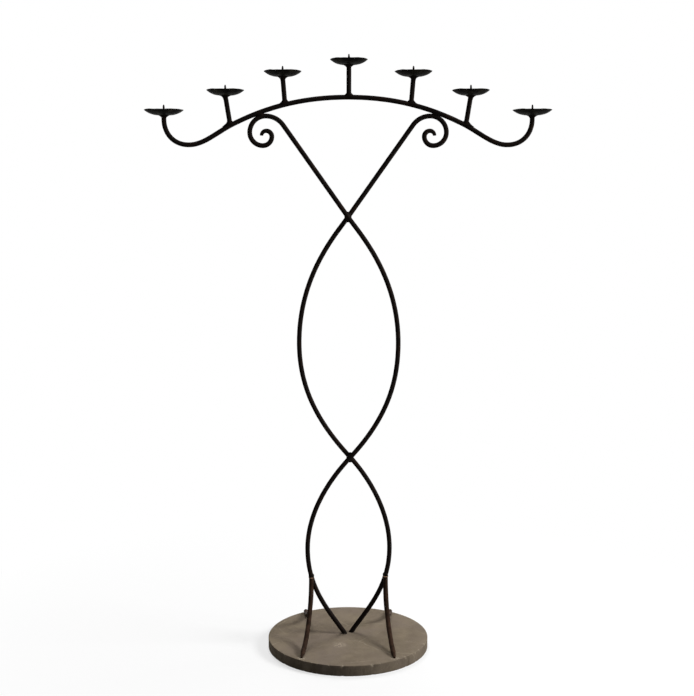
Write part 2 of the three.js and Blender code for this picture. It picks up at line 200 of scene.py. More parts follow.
class ColourSettings(bpy.types.PropertyGroup):
    """The colours of the iron and the stone."""

    iron: swatch("Black iron", "Wax-blackened bar", "#241f1d")
    iron_brown: swatch("Brown iron", "Where the black has worn to brown", "#35271f")
    leg: swatch("Leg iron", "The browner bar of the legs", "#2f241d")
    leg_brown: swatch("Leg brown", "Worn patches on the legs", "#46342a")
    leg_cut: swatch("Leg cut", "The sawn tops of the legs", "#7d6552")
    weld: swatch("Weld", "Scale on the welds", "#1d1917")
    sheet: swatch("Sheet iron", "Blackened sheet of the pans", "#171614")
    sheet_worn: swatch("Worn sheet", "Where the sheet's black is thin", "#413e33")
    pin: swatch("Pin steel", "Bare steel of the pins", "#6b6762")
    stone: swatch("Stone", "The stone's main tone", "#7c7064")
    stone_dark: swatch("Dark stone", "Its darker clouds", "#6d6254")
    stone_warm: swatch("Warm stone", "Its warm clouds", "#867a67")
    stone_fresh: swatch("Fresh stone", "Chips and scratches", "#a89c8a")
    # Colour of the edge smears, also used as painted shade on the slab's upright faces
    stone_stain_and_shade: swatch("Stain", "Dark smears on the edge", "#3d3427")
    floor: swatch("Floor", "The floor", "#fafafa")
    floor_bounce: swatch("Floor bounce", "The floor, as its light reaches the stand", "#7c7c7c")


class StageSettings(bpy.types.PropertyGroup):
    """The floor, the lamps and the camera."""

    key: plain_number("Key lamp", "Power of the lamp on the right", 305, unit="POWER")
    back: plain_number("Back lamp", "Power of the lamp behind", 160, unit="POWER")
    rim: plain_number("Rim lamp", "Power of the tall lamp at the right", 80, unit="POWER")
    sky: plain_number("Sky", "Strength of the light from all round", 0.11)
    glow: plain_number("Floor glow", "Share of white in the floor by the stand", 0.65)


class TorchereSettings(bpy.types.PropertyGroup):
    """All settings of the stand."""

    bars: PointerProperty(type=BarSettings)
    pans: PointerProperty(type=PanSettings)
    welds: PointerProperty(type=WeldSettings)
    slab: PointerProperty(type=SlabSettings)
    colours: PointerProperty(type=ColourSettings)
    stage: PointerProperty(type=StageSettings)


# ---- lines that bars follow

# A point on a bar's line, with how far and which way the line arrives and leaves there.
Knot = namedtuple("Knot", "point arrive leave")

DOWN = Vector((0, 0, -1))
UP = Vector((0, 0, 1))


def heading(angle):
    """A direction in the plane of the frame, as an angle from +X towards +Z."""
    return Vector((math.cos(angle), 0, math.sin(angle)))


def turned_back(knots):
    """The same line, followed from its other end."""
    return [Knot(k.point, -k.leave, -k.arrive) for k in reversed(knots)]


def curl_knots(side, crossing):
    """One upright, its shoulder and its scroll, from the upper crossing up to the tip."""
    angle = math.pi / 2 - side * UPPER_CROSSING_ANGLE
    start = crossing + heading(angle) * UPRIGHT
    start.y = FRAME_PLANE
    third = (start - crossing) / 3
    knots = [Knot(crossing, third, third)]
    point, arrive = start, third
    for i, radius in enumerate(CURL_RADII):
        turn = -side * (math.pi / 2 - (UPPER_CROSSING_ANGLE if i == 0 else 0))
        inward = math.copysign(math.pi / 2, turn)
        # This long a handle makes the smooth line follow an arc
        handle = radius * 4 / 3 * math.tan(abs(turn) / 4)
        knots.append(Knot(point, arrive, heading(angle) * handle))
        centre = point + heading(angle + inward) * radius
        angle += turn
        point = centre - heading(angle + inward) * radius
        arrive = heading(angle) * handle
    knots.append(Knot(point, arrive, arrive))
    return knots


def rod_knots(side, diameter):
    """One rod, from the tip of its scroll down to just under the slab's top."""
    plane = FRAME_PLANE + side * (diameter + SEAT_GAP) / 2
    across = heading(-math.pi / 2 - side * UPPER_CROSSING_ANGLE)
    back = heading(-math.pi / 2 + side * LOWER_CROSSING_ANGLE)
    inward = heading(-math.pi / 2 - side * ROD_FOOT["angle"])
    upper = Vector((0, plane, UPPER_CROSSING))
    bulge = Vector((BULGE_DRIFT - side * BULGE["half_width"], plane, BULGE["height"]))
    lower = Vector((LOWER_CROSSING_DRIFT, plane, LOWER_CROSSING))
    belly = Vector((BULGE_DRIFT + side * BELLY["half_width"], plane, BELLY["height"]))
    foot = Vector((side * ROD_FOOT["half_spread"], plane, widths("base_slab").z))

    *curl, crossing = turned_back(curl_knots(side, upper))
    return [
        *curl,
        Knot(upper, crossing.arrive, across * UPPER_CROSSING_RUN),
        Knot(bulge, DOWN * BULGE["above"], DOWN * BULGE["below"]),
        Knot(lower, back * LOWER_CROSSING_RUNS["above"], back * LOWER_CROSSING_RUNS["below"]),
        Knot(belly, DOWN * BELLY["above"], DOWN * BELLY["below"]),
        Knot(foot, inward * ROD_FOOT["run"], inward * diameter / 3),
        Knot(foot + inward * diameter, inward * diameter / 3, inward),
    ]


def arch_half_knots(side):
    """Half of the arch, from its crown out to its upturned end."""
    diameter = bpy.context.scene.torchere.bars.diameter
    crown = Vector((0, FRAME_PLANE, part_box("arch_bar")[1].z - diameter / 2))
    outward = Vector((side, 0, 0))
    falling = Vector((side * math.cos(ARCH_KNEE["angle"]), 0, -math.sin(ARCH_KNEE["angle"])))

    def at(place):
        return crown + Vector((side * place["out"], 0, -place["drop"]))

    end = at(ARCH_END)
    riser = UP * ARCH_END["riser"]
    return [
        Knot(crown, outward * ARCH_CROWN_RUN, outward * ARCH_CROWN_RUN),
        Knot(at(ARCH_KNEE), falling * ARCH_KNEE["arrive"], falling * ARCH_KNEE["leave"]),
        Knot(at(ARCH_HOOK), outward * ARCH_HOOK["arrive"], outward * ARCH_HOOK["leave"]),
        Knot(end, UP * ARCH_END["arrive"], riser / 3),
        Knot(end + riser, riser / 3, riser),
    ]


def arch_knots():
    """The whole arch, from left to right."""
    return [*turned_back(arch_half_knots(-1)), *arch_half_knots(1)[1:]]


def toe_place(side, depth):
    """Where a leg's toe lies on the slab, seen from above."""
    angle = LEG_TOE["angle"]
    radius = widths("base_slab").x / 2 - LEG_TOE["inset"]
    return Vector((side * math.cos(angle), depth * math.sin(angle))) * radius


def leg_knots(side, depth, diameter):
    """A leg, from beside its rod down to its toe on the slab."""
    belly_to_foot = rod_knots(side, diameter)[-3:-1]
    join = point_at_height(smooth_points(belly_to_foot, diameter / 10), LEG_TOP)
    top = join + Vector((0, depth * (diameter + SEAT_GAP), 0))
    toe = toe_place(side, depth).to_3d() + UP * (widths("base_slab").z + SEAT_GAP + diameter / 2)
    outward = (toe - top).to_2d().normalized().to_3d()
    return [
        Knot(top, DOWN * LEG_DROP, DOWN * LEG_DROP),
        Knot(toe, outward * LEG_TOE["run"], outward * LEG_TOE["run"]),
    ]


def smooth_points(knots, step):
    """Points about one step apart along the smooth line through the knots."""
    points = [knots[0].point]
    for start, end in pairwise(knots):
        handles = (start.point, start.point + start.leave, end.point - end.arrive, end.point)
        rough = sum((b - a).length for a, b in pairwise(handles))
        count = max(2, round(rough / step)) + 1
        points += geometry.interpolate_bezier(*handles, count)[1:]
    return points


def point_at_height(points, height):
    """Where a line that falls all the way passes the given height."""
    for above, below in pairwise(points):
        if above.z >= height >= below.z:
            return above.lerp(below, (above.z - height) / (above.z - below.z))
    raise ValueError(f"the line never passes {height} m")


# ---- meshes


def add_object(name, data):
    """Adds an object with this mesh, light or camera to the scene."""
    made = bpy.data.objects.new(name, data)
    bpy.context.scene.collection.objects.link(made)
    return made


def finished(name, bm, material):
    """Turns a working mesh into a finished one, with every face outwards."""
    bmesh.ops.recalc_face_normals(bm, faces=bm.faces)
    mesh = bpy.data.meshes.new(name)
    bm.to_mesh(mesh)
    bm.free()
    mesh.materials.append(material)
    return mesh


def add_piece(name, bm, finish, slot, *nodes, **marks):
    """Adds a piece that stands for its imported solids.

    Its finish reads each mark, one value for every corner, by its name."""
    piece = add_object(name, finished(name, bm, shared_finish(finish)))
    piece.data.shade_smooth()
    for mark, values in marks.items():
        piece.data.attributes.new(mark, "FLOAT", "POINT").data.foreach_set("value", values)
    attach(piece, "root")
    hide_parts(*nodes)


def shares(count):
    """Shares from 0 to 1, in this many even steps."""
    return [i / count for i in range(count + 1)]


def circle(sides):
    """The corners of a circle of radius 1."""
    return [(math.cos(math.tau * s), math.sin(math.tau * s)) for s in shares(sides)[:-1]]


def standing(low, high):
    """The middle of an upright solid's underside, its radius and its height, from its box."""
    return Vector(((low.x + high.x) / 2, (low.y + high.y) / 2, low.z)), (high.x - low.x) / 2, high.z - low.z


def skin(bm, rings):
    """Joins neighbouring rings of corners with faces."""
    for lower, upper in pairwise(rings):
        for i in range(len(lower)):
            bm.faces.new((lower[i - 1], lower[i], upper[i], upper[i - 1]))


def close(bm, ring, tip):
    """Closes the end of a tube with a fan of faces round its tip."""
    for i in range(len(ring)):
        bm.faces.new((ring[i - 1], ring[i], tip))


def uneven(point, patch, height):
    """A soft bump or hollow at this place, from -height to height."""
    return height * noise.noise(point / patch)


def bar_mesh(knots, bars, thinning=0):
    """A round bar bent along the knots' line, slightly out of round, with rounded cut ends.

    The thinning is the share of its thickness that it loses towards its first end."""
    points = smooth_points(knots, bars.step)
    ends = len(points) - 1
    side = (points[1] - points[0]).orthogonal().normalized()
    bm = bmesh.new()
    rings = []
    for i, point in enumerate(points):
        along = (points[min(i + 1, ends)] - points[max(i - 1, 0)]).normalized()
        side = (side - along * side.dot(along)).normalized()
        up = along.cross(side)
        drawn = max(0, 1 - (point - points[0]).length / (bars.tip_run * bars.diameter))
        radius = (bars.diameter / 2 + bars.wax) * (1 - thinning * drawn)
        ring = []
        for x, y in circle(bars.sides):
            outward = side * x + up * y
            surface = point + outward * radius
            ring.append(bm.verts.new(surface + outward * uneven(surface, bars.patch, bars.unevenness)))
        rings.append(ring)
    skin(bm, rings)
    caps = [bm.faces.new(rings[0]), bm.faces.new(rings[-1])]
    rims = list({edge for cap in caps for edge in cap.edges})
    bmesh.ops.bevel(bm, geom=rims, offset=bars.end_round, segments=3, affect="EDGES", profile=0.5)
    return bm


def draw_out(bm, end, outward, reach, width, height):
    """Hammers the end of a bar that lies flat to a point, down to these shares of its section."""
    across = outward.cross(UP)
    for corner in bm.verts:
        offset = corner.co - end
        drawn = max(0, 1 + offset.dot(outward) / reach)
        corner.co -= across * offset.dot(across) * drawn * (1 - width)
        corner.co -= UP * offset.z * drawn * (1 - height)


def cut_off(bm, point, outward):
    """Saws a working mesh off at a plane and closes the cut."""
    whole = [*bm.verts, *bm.edges, *bm.faces]
    sawn = bmesh.ops.bisect_plane(bm, geom=whole, plane_co=point, plane_no=outward, clear_outer=True)
    loop = [edge for edge in sawn["geom_cut"] if isinstance(edge, bmesh.types.BMEdge)]
    bmesh.ops.edgeloop_fill(bm, edges=loop)


def turned_mesh(profile, sides, shape=None):
    """A closed turned form from a profile of radius and height, whose ends lie on the axis.

    The shape moves each corner, so that a turned form gets its waves, dents and lumps."""
    bm = bmesh.new()
    tips, rings = [], []
    for radius, height in profile:
        if radius == 0:
            tips.append(bm.verts.new((0, 0, height)))
        else:
            rings.append([bm.verts.new((radius * x, radius * y, height)) for x, y in circle(sides)])
    skin(bm, rings)
    close(bm, rings[0], tips[0])
    close(bm, rings[-1], tips[-1])
    if shape:
        for corner in bm.verts:
            corner.co = shape(corner.co)
    return bm


# ---- finishes


def add_node(tree, kind, inputs=None, output=0, **settings):
    """Adds a shader node with its settings, and returns the output that others link from.

    Each input is a value, or an output to link from."""
    node = tree.nodes.new(f"ShaderNode{kind}")
    for name, value in settings.items():
        setattr(node, name, value)
    for key, value in (inputs or {}).items():
        if isinstance(value, bpy.types.NodeSocket):
            tree.links.new(value, node.inputs[key])
        else:
            node.inputs[key].default_value = value
    return node.outputs[output]


def patches(tree, places, size, spread, detail=3.0, roughness=0.5, most=1.0):
    """Soft patches about as wide as size, in metres.

    They grow from 0 to the most where the pattern passes the two levels of the spread."""
    grain = {"Vector": places, "Scale": 1 / size, "Detail": detail, "Roughness": roughness}
    pattern = add_node(tree, "TexNoise", grain, "Fac")
    low, high = spread
    levels = {"Value": pattern, "From Min": low, "From Max": high, "To Max": most}
    return add_node(tree, "MapRange", levels)


def colour(tree, shader, base, *coats):
    """Colours a surface: a base and the coats over it, each a share and its colour."""
    tone = base
    for share, coat in coats:
        tone = add_node(tree, "Mix", {0: share, 6: tone, 7: coat}, 2, data_type="RGBA")
    tree.links.new(tone, shader.inputs["Base Color"])


def roughen(tree, shader, pattern, low, high):
    """Makes a surface as rough as low to high, as the pattern goes."""
    levels = {"Value": pattern, "To Min": low, "To Max": high}
    tree.links.new(add_node(tree, "MapRange", levels), shader.inputs["Roughness"])


def emboss(tree, shader, *reliefs):
    """Gives a surface its relief: patterns, each with its height in metres."""
    normal = None
    for pattern, height in reliefs:
        inputs = {"Height": pattern, "Distance": height}
        if normal:
            inputs["Normal"] = normal
        normal = add_node(tree, "Bump", inputs)
    tree.links.new(normal, shader.inputs["Normal"])


def hot_bent(tree, shader, places, low, high):
    """The relief and roughness of hot-bent bar under its scale and wax."""
    # Scale is finer than this. It is drawn at 2.5 mm, one pixel, to show at all
    scale = patches(tree, places, 0.0025, (0.3, 0.7))
    hammer = patches(tree, places, 0.011, (0.25, 0.75), detail=2)
    roughen(tree, shader, scale, low, high)
    emboss(tree, shader, (hammer, 0.00025), (scale, 0.00004))
    # Wax and scale hide the metal, so almost no gloss is left
    shader.inputs["Specular IOR Level"].default_value = 0.004


def black_iron(tree, shader, places, colours):
    """Wrought bar, hot-bent and rubbed with black wax over its scale.

    The eye sees near-black with a brown breath where the wax has worn, and a soft grey band
    along the side that faces the lamp, broken by the hammer's marks."""
    worn = patches(tree, places, 0.022, (0.5, 0.78), detail=4, roughness=0.6)
    colour(tree, shader, colours.iron, (worn, colours.iron_brown))
    hot_bent(tree, shader, places, 0.30, 0.44)


def brown_iron(tree, shader, places, colours):
    """The same bar on the legs, rubbed by feet and brooms down to its brown oxide.

    The eye sees dark brown with browner patches, lighter where the rubbed side turns to the
    lamp, and a pale rusty face where the saw cut it."""
    worn = patches(tree, places, 0.016, (0.42, 0.7), detail=4, roughness=0.6)
    sawn = add_node(tree, "Attribute", output="Fac", attribute_name="sawn")
    colour(tree, shader, colours.leg, (worn, colours.leg_brown), (sawn, colours.leg_cut))
    hot_bent(tree, shader, places, 0.26, 0.40)


def weld_metal(tree, shader, places, colours):
    """Arc weld left as it cooled and blackened with the bar.

    The eye sees a rougher, blacker lump than the bar, pitted, with hardly any sheen."""
    pits = patches(tree, places, 0.0025, (0.3, 0.7), detail=4, roughness=0.65)
    worn = patches(tree, places, 0.006, (0.5, 0.8))
    colour(tree, shader, colours.weld, (worn, colours.iron_brown))
    roughen(tree, shader, pits, 0.45, 0.7)
    emboss(tree, shader, (pits, 0.00025))
    shader.inputs["Specular IOR Level"].default_value = 0.004


def sheet_iron(tree, shader, places, colours):
    """Sheet iron beaten into dishes and blackened.

    The eye sees dark sheet with shallow round hammer marks that catch the light, and olive
    grey metal where the black is thin."""
    rounds = {"Vector": places, "Scale": 1 / 0.0075, "Smoothness": 0.6}
    marks = add_node(tree, "TexVoronoi", rounds, "Distance", feature="SMOOTH_F1")
    worn = patches(tree, places, 0.014, (0.48, 0.74), detail=5, roughness=0.62)
    scale = patches(tree, places, 0.0025, (0.3, 0.7))
    colour(tree, shader, colours.sheet, (worn, colours.sheet_worn))
    roughen(tree, shader, scale, 0.36, 0.55)
    emboss(tree, shader, (marks, 0.0006), (scale, 0.0001))
    shader.inputs["Specular IOR Level"].default_value = 0.008


def bare_steel(tree, shader, places, colours):
    """Drawn steel rod, sawn to length and left bare.

    The eye sees plain grey metal with a satin sheen."""
    grain = patches(tree, places, 0.0012, (0, 1), detail=2)
    shader.inputs["Base Color"].default_value = colours.pin
    shader.inputs["Metallic"].default_value = 1.0
    roughen(tree, shader, grain, 0.3, 0.5)
    emboss(tree, shader, (grain, 0.00004))


def sawn_stone(tree, shader, places, colours):
    """Grey-brown sandstone, sawn round and left unpolished.

    The eye sees a dull cloudy surface of warm and dark patches, a fine grain with pale
    specks, thin pale veins, fresh pale stone where it is chipped or scuffed, and dark
    smears down its edge. The smears are laid on widely, so they are also painted shade that
    makes the upright faces darker than the top."""
    # Sand grains are 0.3 mm and would not show, so they are drawn as clumps of 2.4 mm
    warm = patches(tree, places, 0.085, (0.38, 0.66), detail=5, roughness=0.6)
    dark = patches(tree, places, 0.052, (0.42, 0.70), detail=6, roughness=0.62, most=0.8)
    grain = patches(tree, places, 0.0024, (0.28, 0.72), detail=4, roughness=0.7, most=0.28)

    # Pale veins: the seams between large bent cells, kept only in a few places
    bent = add_node(tree, "TexNoise", {"Vector": places, "Scale": 1 / 0.06, "Detail": 3.0}, "Color")
    moved = add_node(tree, "VectorMath", {0: bent, 1: (0.03, 0.03, 0.03), 2: places}, operation="MULTIPLY_ADD")
    cells = {"Vector": moved, "Scale": 1 / 0.13}
    edges = add_node(tree, "TexVoronoi", cells, "Distance", feature="DISTANCE_TO_EDGE")
    seams = add_node(tree, "MapRange", {"Value": edges, "From Min": 0.012, "From Max": 0, "To Max": 0.42})
    kept = patches(tree, places, 0.09, (0.5, 0.62), detail=2)

    # Pale specks, in loose flocks
    spots = add_node(tree, "TexVoronoi", {"Vector": places, "Scale": 1 / 0.006}, "Distance")
    dots = add_node(tree, "MapRange", {"Value": spots, "From Min": 0.16, "From Max": 0.10, "To Max": 0.5})
    flocks = patches(tree, places, 0.03, (0.55, 0.68), detail=2)

    # Dark smears, drawn out downwards, only where the surface is upright. Partly real stains, partly painted
    # shade that darkens the sides against the top
    facing = add_node(tree, "NewGeometry", output="Normal")
    level = add_node(tree, "SeparateXYZ", {0: facing}, "Z")
    tilt = add_node(tree, "Math", {0: level}, operation="ABSOLUTE")
    upright = add_node(tree, "MapRange", {"Value": tilt, "From Min": 0.6, "From Max": 0.2, "To Max": 0.6})
    drawn = add_node(tree, "VectorMath", {0: places, 1: (1, 1, 0.35)}, operation="MULTIPLY")
    smears_and_shade = patches(tree, drawn, 0.024, (0.40, 0.74), detail=4, roughness=0.6)

    # Fresh stone in the chips and scuffs that the mesh marks
    marked = add_node(tree, "Attribute", output="Fac", attribute_name="fresh")
    broken = patches(tree, places, 0.0035, (0.45, 0.62))

    coats = [(warm, colours.stone_warm), (dark, colours.stone_dark), (grain, colours.stone_dark)]
    for pattern, where, coat in (
        (seams, kept, colours.stone_fresh),
        (dots, flocks, colours.stone_fresh),
        # Stains and painted shade: the smears darken every upright face of the slab
        (smears_and_shade, upright, colours.stone_stain_and_shade),
        (marked, broken, colours.stone_fresh),
    ):
        coats.append((add_node(tree, "Math", {0: pattern, 1: where}, operation="MULTIPLY"), coat))
    colour(tree, shader, colours.stone, *coats)
    roughen(tree, shader, grain, 0.8, 1.0)
    emboss(tree, shader, (dark, 0.0007), (grain, 0.0012))
    shader.inputs["IOR"].default_value = 1.54
    shader.inputs["Specular IOR Level"].default_value = 0.08


# What mixes each finish
FINISHES = {
    "Waxed wrought iron": black_iron,
    "Rubbed wrought iron": brown_iron,
    "Blackened weld": weld_metal,
    "Beaten sheet iron": sheet_iron,
    "Drawn steel": bare_steel,
    "Sawn sandstone": sawn_stone,
}


def shared_finish(name):
    """The finish of this name, mixed for the first piece that has it."""
    material = bpy.data.materials.get(name)
    if not material:
        material = bpy.data.materials.new(name)
        material.use_nodes = True
        tree = material.node_tree
        places = add_node(tree, "TexCoord", output="Object")
        FINISHES[name](tree, tree.nodes["Principled BSDF"], places, bpy.context.scene.torchere.colours)
    return material


# ---- operators


class BuildRods(bpy.types.Operator):
    """Bends the two scroll rods that cross twice and stand on the slab"""

    bl_idname = "torchere.rods"
    bl_label = "Scroll rods"

    thinning: plain_number("Tip", "Share of their thickness that the scrolls lose at their tips", 0.3)

    def execute(self, context):
        bars = context.scene.torchere.bars
        on_slab = UP * (widths("base_slab").z + SEAT_GAP)
        for name, side in SIDES.items():
            bm = bar_mesh(rod_knots(side, bars.diameter), bars, self.thinning)
            cut_off(bm, on_slab, DOWN)
            add_piece(f"bent_rod_{name}", bm, "Waxed wrought iron", "bar", f"scroll_rod_{name}")
        return {"FINISHED"}


class BuildArch(bpy.types.Operator):
    """Bends the arched bar that rests on the scrolls and turns up at its ends"""

    bl_idname = "torchere.arch"
    bl_label = "Arch"

    def execute(self, context):
        bm = bar_mesh(arch_knots(), context.scene.torchere.bars)
        add_piece("bent_arch", bm, "Waxed wrought iron", "bar", "arch_bar")
        return {"FINISHED"}


def stem_line(number):
    """The top of a stem and the way down it to the arch."""
    low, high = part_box(f"pan_cup_{number}")
    side = math.copysign(1, low.x + high.x) if STEM_LEANS[number] else 0
    up = heading(math.pi / 2 - side * STEM_LEANS[number])
    top = Vector(((low.x + high.x) / 2, FRAME_PLANE, high.z))
    return top, up, top - up * STEM_LENGTHS[number]


class BuildStems(bpy.types.Operator):
    """Cuts the short stems that stand on the arch, each with its skirt of weld"""

    bl_idname = "torchere.stems"
    bl_label = "Stems"

    width: length("Skirt", "How far the weld spreads past the bar along the arch", 0.0155)
    depth: length("Skirt depth", "How far it spreads past the bar to the front and back", 0.0014)
    height: length("Skirt height", "Height of the weld over the arch's centreline", 0.0140)
    clearance: length("Clearance", "How far its thin end stands off the bar", 0.0002)
    rings: whole_number("Rings", "Rings up the weld", 12)
    sides: whole_number("Sides", "Corners round the weld", 32)

    def execute(self, context):
        bars = context.scene.torchere.bars
        radius = bars.diameter / 2
        for number in STEMS:
            top, up, foot = stem_line(number)
            low, high = foot + up * radius / 2, top + up * radius
            third = (high - low) / 3
            bm = bar_mesh([Knot(low, third, third), Knot(high, third, third)], bars)
            cut_off(bm, top, UP)
            add_piece(f"short_stem_{number}", bm, "Waxed wrought iron", "bar", f"stem_{number}")
            bm = self.skirt(radius + self.clearance, foot, up, context.scene.torchere.welds)
            add_piece(f"foot_weld_{number}", bm, "Blackened weld", "weld", f"stem_weld_{number}")
        return {"FINISHED"}

    def skirt(self, radius, foot, up, welds):
        """A saddle of weld round a stem's foot, that thins away up the stem."""
        lean = UP.rotation_difference(up).to_matrix()
        profile = [(1, self.height * share) for share in shares(self.rings)[:-1]]

        def shape(corner):
            spread = (1 - corner.z / self.height) ** 2
            outward = corner.to_2d().to_3d()
            reach = Vector((radius + self.width * spread, radius + self.depth * spread, 1))
            placed = foot + lean @ (outward * reach + UP * corner.z)
            return placed + lean @ outward * uneven(placed, welds.grain, welds.lump / 2)

        return turned_mesh([(0, 0), *profile, (0, self.height)], self.sides, shape)


class BuildPans(bpy.types.Operator):
    """Beats the drip pans, with waved rims and hammer marks"""

    bl_idname = "torchere.pans"
    bl_label = "Drip pans"

    # The powers of the way out that the rings, the thin lip and the ripples follow, so that the
    # first crowd and the others begin near the rim, and how much wider than a dent a ripple is
    RINGS_POWER = 0.8
    LIP_POWER = 6
    RIPPLE_POWER = 4
    RIPPLE_WIDTH = 1.6

    def execute(self, context):
        for number in PANS:
            bm = self.pan(number, context.scene.torchere.pans)
            add_piece(f"beaten_pan_{number}", bm, "Beaten sheet iron", "pan", f"drip_pan_{number}")
        return {"FINISHED"}

    def pan(self, number, pans):
        """One dish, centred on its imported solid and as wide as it."""
        centre, rim, _ = standing(*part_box(f"drip_pan_{number}"))
        slope = rim - pans.floor

        def rise(radius):
            return pans.depth * (max(radius - pans.floor, 0) / slope) ** pans.sweep

        def thickness(radius):
            return pans.thickness * (1 - pans.lip * (radius / rim) ** self.LIP_POWER)

        radii = [rim * share**self.RINGS_POWER for share in shares(pans.rings)[1:]]
        under = [(r, rise(r)) for r in radii]
        over = [(r, rise(r) + thickness(r)) for r in reversed(radii)]
        profile = [(0, 0), *under, *over, (0, pans.thickness)]

        def shape(corner):
            reach = corner.to_2d().length / rim
            wave = -pans.wave * math.cos(pans.lobes * math.atan2(corner.y, corner.x)) * reach**pans.sweep
            placed = centre + corner + UP * wave
            dent = uneven(placed, pans.dent_size, pans.dent) * min(1, 2 * reach)
            ripple = uneven(corner.to_2d().to_3d(), pans.dent_size * self.RIPPLE_WIDTH, pans.ripple)
            ripple *= reach**self.RIPPLE_POWER
            return placed + UP * (dent + ripple)

        return turned_mesh(profile, pans.sides, shape)


class BuildCups(bpy.types.Operator):
    """Builds up the lumpy flared cups that carry the pans"""

    bl_idname = "torchere.cups"
    bl_label = "Cups"

    sweep: plain_number("Sweep", "How late the cup flares", 2.4, 1)
    rings: whole_number("Rings", "Rings up the cup", 12)
    sides: whole_number("Sides", "Corners round the cup", 40)

    # The power of the way up that the lumps fade with, towards the pan
    LUMP_POWER = 6

    def execute(self, context):
        for number in PANS:
            bm = self.cup(number, context.scene.torchere)
            add_piece(f"flared_cup_{number}", bm, "Blackened weld", "weld", f"pan_cup_{number}")
        return {"FINISHED"}

    def cup(self, number, stand):
        """One cup, from the bar up to the underside of its pan."""
        foot, wide, height = standing(*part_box(f"pan_cup_{number}"))
        narrow = stand.bars.diameter / 2
        profile = [(narrow + (wide - narrow) * s**self.sweep, height * s) for s in shares(self.rings)]

        def shape(corner):
            share = corner.z / height
            placed = foot + corner
            lump = uneven(placed, stand.pans.cup_grain, stand.pans.cup_lump)
            return placed + corner.to_2d().to_3d().normalized() * lump * (1 - share**self.LUMP_POWER)

        return turned_mesh([(0, 0), *profile, (0, height)], self.sides, shape)


class BuildSpikes(bpy.types.Operator):
    """Forges the spikes that the candles are pushed on"""

    bl_idname = "torchere.spikes"
    bl_label = "Spikes"

    taper: length("Taper", "Length of the tapered end", 0.006)
    tip: length("Tip", "Radius of the blunt tip", 0.0019)
    patch: length("Patch", "Size of one uneven patch", 0.003)
    unevenness: plain_number("Unevenness", "Share of its radius that a patch stands out", 0.12)
    sides: whole_number("Sides", "Corners round the spike", 20)

    # Rings up the straight part and up the taper, and the ring that rounds off the tip, in
    # shares of the tip's radius
    STRAIGHT_RINGS = 4
    TAPER_RINGS = 8
    DOME = {"radius": 0.6, "drop": 0.25}

    def execute(self, context):
        for number in PANS:
            foot, radius, height = standing(*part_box(f"pricket_{number}"))
            neck, shoulder = height - self.taper, height - self.tip
            profile = [(0, 0), *((radius, neck * s) for s in shares(self.STRAIGHT_RINGS))]
            for s in shares(self.TAPER_RINGS)[1:]:
                profile.append((radius + (self.tip - radius) * s, neck + (shoulder - neck) * s))
            profile.append((self.tip * self.DOME["radius"], height - self.tip * self.DOME["drop"]))

            def shape(corner, foot=foot):
                placed = foot + corner
                return placed + corner.to_2d().to_3d() * uneven(placed, self.patch, self.unevenness)

            bm = turned_mesh([*profile, (0, height)], self.sides, shape)
            add_piece(f"candle_spike_{number}", bm, "Waxed wrought iron", "bar", f"pricket_{number}")
        return {"FINISHED"}


class BuildLegs(bpy.types.Operator):
    """Bends the four legs that brace the rods, the front ones with drawn-out toes"""

    bl_idname = "torchere.legs"
    bl_label = "Legs"

    toe_length: length("Toe length", "Length of the drawn-out point of a toe", 0.024)
    toe_width: plain_number("Toe width", "Share of the bar's width left at its tip", 0.45)
    toe_height: plain_number("Toe height", "Share of its height left at its tip", 0.3)

    def execute(self, context):
        bars = context.scene.torchere.bars
        for leg, (side, depth) in LEGS.items():
            top, toe = leg_knots(side, depth, bars.diameter)
            bm = bar_mesh([top, toe], bars)
            if depth == DEPTHS["front"]:
                underside = toe.point - UP * bars.diameter / 2
                along = toe.leave.normalized()
                draw_out(bm, underside, along, self.toe_length, self.toe_width, self.toe_height)
            cut = top.point.z - bars.end_round / 2
            sawn = [float(corner.co.z > cut) for corner in bm.verts]
            add_piece(f"splayed_leg_{leg}", bm, "Rubbed wrought iron", "bar", f"leg_{leg}", sawn=sawn)
        return {"FINISHED"}


class BuildWelds(bpy.types.Operator):
    """Lays the welds at the crossings, under the arch and on the legs"""

    bl_idname = "torchere.welds"
    bl_label = "Welds"

    splits: whole_number("Splits", "How often the faces of a ball are split to make a bead", 5, 1)

    def execute(self, context):
        solids = [f"crossing_weld_{place}" for place in ("upper", "lower")]
        solids += [f"scroll_weld_{side}" for side in SIDES]
        solids += [f"leg_weld_{leg}" for leg in LEGS]
        for solid in solids:
            low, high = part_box(solid)
            bm = self.bead((low + high) / 2, (high - low) / 2, context.scene.torchere.welds)
            add_piece(solid.replace("weld", "bead"), bm, "Blackened weld", "weld", solid)
        return {"FINISHED"}

    def bead(self, centre, reach, welds):
        """A lumpy bead with fine ripples, as large as its solid."""
        bm = bmesh.new()
        bmesh.ops.create_icosphere(bm, subdivisions=self.splits, radius=1)
        for corner in bm.verts:
            outward = corner.co.normalized()
            surface = centre + outward * reach
            lump = uneven(surface, welds.grain, welds.lump)
            ripple = welds.ripple * math.sin(math.tau * surface.z / welds.ripple_spacing)
            corner.co = surface + outward * (lump + ripple)
        return bm


